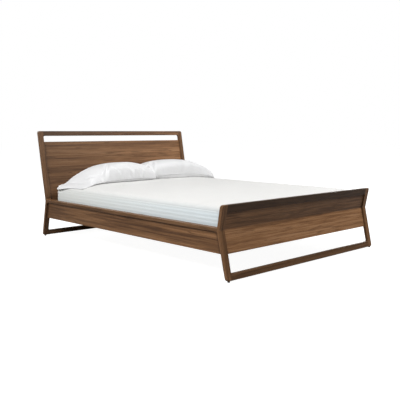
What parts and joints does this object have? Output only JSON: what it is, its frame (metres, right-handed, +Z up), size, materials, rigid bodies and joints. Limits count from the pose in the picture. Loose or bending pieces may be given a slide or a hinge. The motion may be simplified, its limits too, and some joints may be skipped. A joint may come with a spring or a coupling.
{
  "type": "platform bed",
  "caption": "Low walnut platform bed with outward-leaning slotted headboard, matching footboard on a sled base, side rails with recessed panels, slats, mattress and pillows.",
  "frame": {"origin": "centre of the footprint, on the floor", "axes": "+Z up, +Y towards the headboard, +X to the right of someone lying on their back with the head at the headboard"},
  "size_m": [1.651, 2.3019, 0.914],
  "materials": {
    "walnut": "satin oiled",
    "walnut_panel": "satin oiled veneer",
    "slat_wood": "sanded",
    "beech": "fluted",
    "zinc_screw": "zinc plated",
    "bracket_steel": "black powder coat",
    "nylon": "matte",
    "mattress_ticking": "woven stripe",
    "pillow_cotton": "plain weave"
  },
  "bodies": {
    "bed_frame": {"beam_hangers": "bracket_steel", "centre_beam": "slat_wood", "centre_leg_bolts": "zinc_screw", "centre_leg_foot_end": "slat_wood", "centre_leg_glides": "nylon", "centre_leg_head_end": "slat_wood", "cleat_screws": "zinc_screw", "foot_cleat": "slat_wood", "foot_panel_lower": "walnut_panel", "foot_panel_upper": "walnut_panel", "foot_post_left": "walnut", "foot_post_right": "walnut", "foot_stretcher": "walnut", "foot_top_rail": "walnut", "frame_dowels": "beech", "hanger_screws": "zinc_screw", "head_cleat": "slat_wood", "head_panel_lower": "walnut_panel", "head_panel_upper": "walnut_panel", "head_post_left": "walnut", "head_post_right": "walnut", "head_stretcher": "walnut", "head_top_rail": "walnut", "ledger_screws": "zinc_screw", "plate_screws": "zinc_screw", "post_glides": "nylon", "post_slot_plates": "bracket_steel", "rail_hook_plates": "bracket_steel", "side_cap_left": "walnut", "side_cap_right": "walnut", "side_panel_left": "walnut_panel", "side_panel_right": "walnut_panel", "slat_01": "slat_wood", "slat_02": "slat_wood", "slat_03": "slat_wood", "slat_04": "slat_wood", "slat_05": "slat_wood", "slat_06": "slat_wood", "slat_07": "slat_wood", "slat_08": "slat_wood", "slat_09": "slat_wood", "slat_10": "slat_wood", "slat_11": "slat_wood", "slat_12": "slat_wood", "slat_13": "slat_wood", "slat_14": "slat_wood", "slat_15": "slat_wood", "slat_ledger_left": "slat_wood", "slat_ledger_right": "slat_wood", "slat_screws": "zinc_screw"},
    "mattress": {"mattress": "mattress_ticking"},
    "pillow_left": {"pillow_left": "pillow_cotton"},
    "pillow_right": {"pillow_right": "pillow_cotton"}
  },
  "joints": [
    {"name": "mattress_lift", "type": "slide", "parent": "bed_frame", "child": "mattress", "axis": [0, 0, 1], "range_m": [0, 0.7]},
    {"name": "pillow_left_lift", "type": "slide", "parent": "mattress", "child": "pillow_left", "axis": [0, 0, 1], "range_m": [0, 0.35]},
    {"name": "pillow_right_lift", "type": "slide", "parent": "mattress", "child": "pillow_right", "axis": [0, 0, 1], "range_m": [0, 0.35]}
  ]
}
